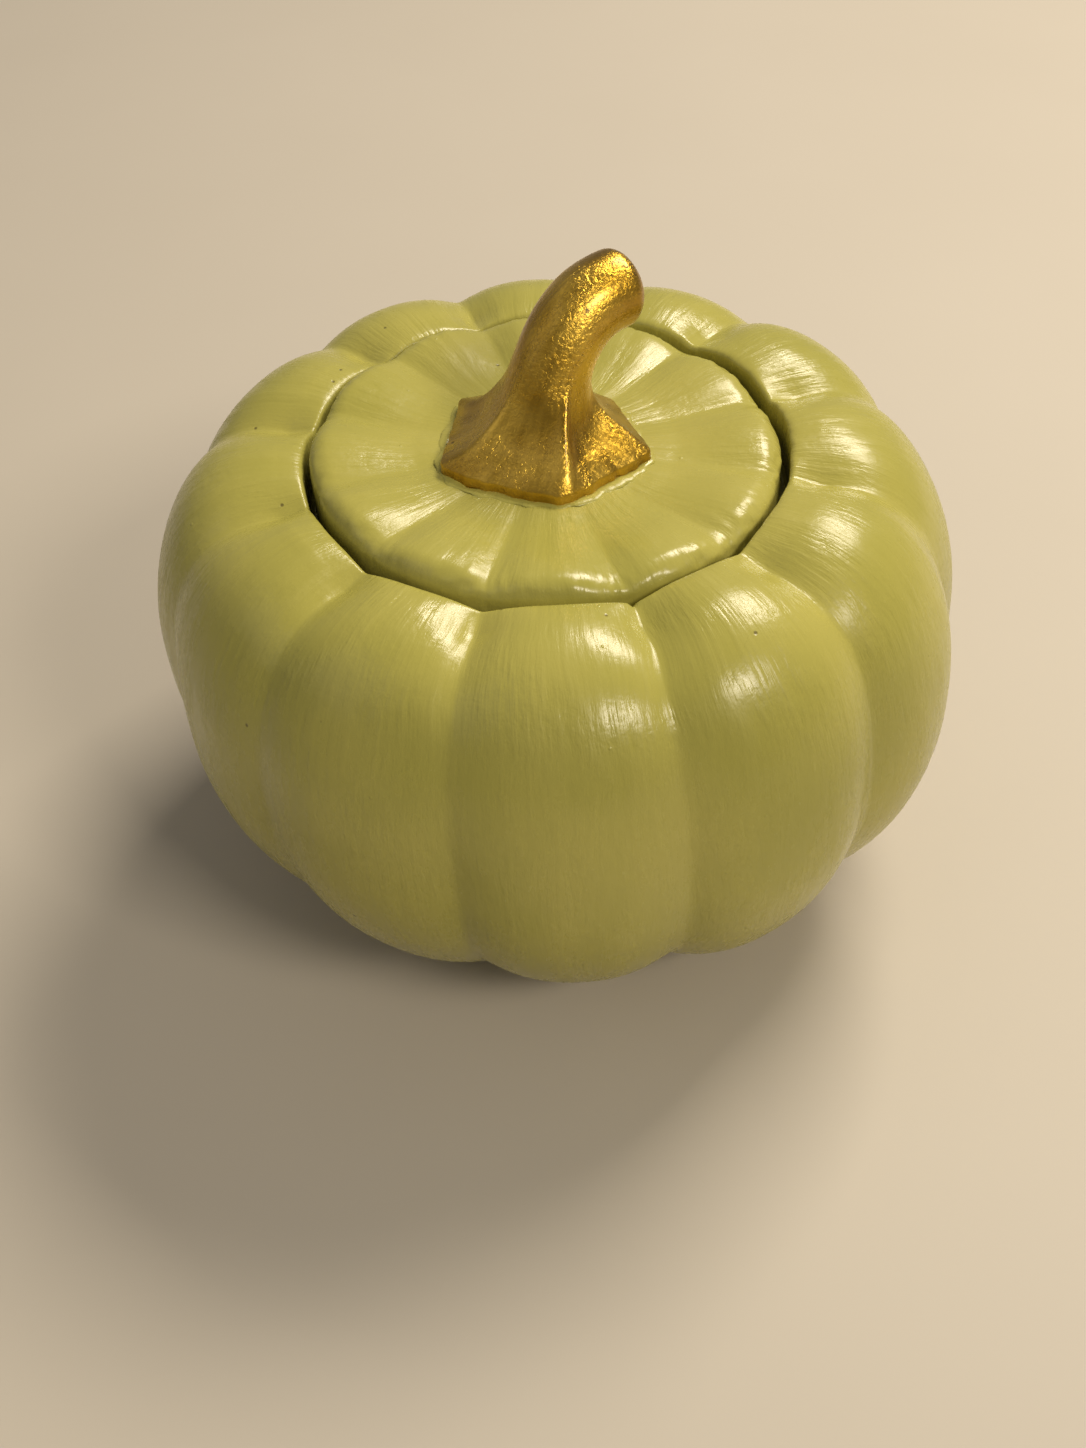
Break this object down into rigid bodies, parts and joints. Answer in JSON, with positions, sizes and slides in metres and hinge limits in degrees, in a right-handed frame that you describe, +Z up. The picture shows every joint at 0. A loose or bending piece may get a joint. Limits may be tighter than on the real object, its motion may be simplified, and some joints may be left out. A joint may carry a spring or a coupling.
{
  "type": "pumpkin-shaped lidded jar",
  "caption": "Small hand-painted sage-green trinket jar in the shape of a ribbed pumpkin, with a drop-in ribbed lid and a curved gold stem for a knob.",
  "frame": {"origin": "on the surface that the jar stands on, under the middle of the body's widest ring", "axes": "+Z up; -Y is the front, in the middle of one rib; +X is the right, which the stem bends towards while it leans back"},
  "size_m": [0.11, 0.11, 0.0884],
  "materials": {
    "sage_paint": "sage-green satin paint, brushed on by hand over a cast body",
    "gold_paint": "metallic gold paint, brushed on by hand over a cast body"
  },
  "bodies": {
    "root": {"jar": "sage_paint", "lid": "sage_paint", "stem": "gold_paint"}
  },
  "joints": []
}
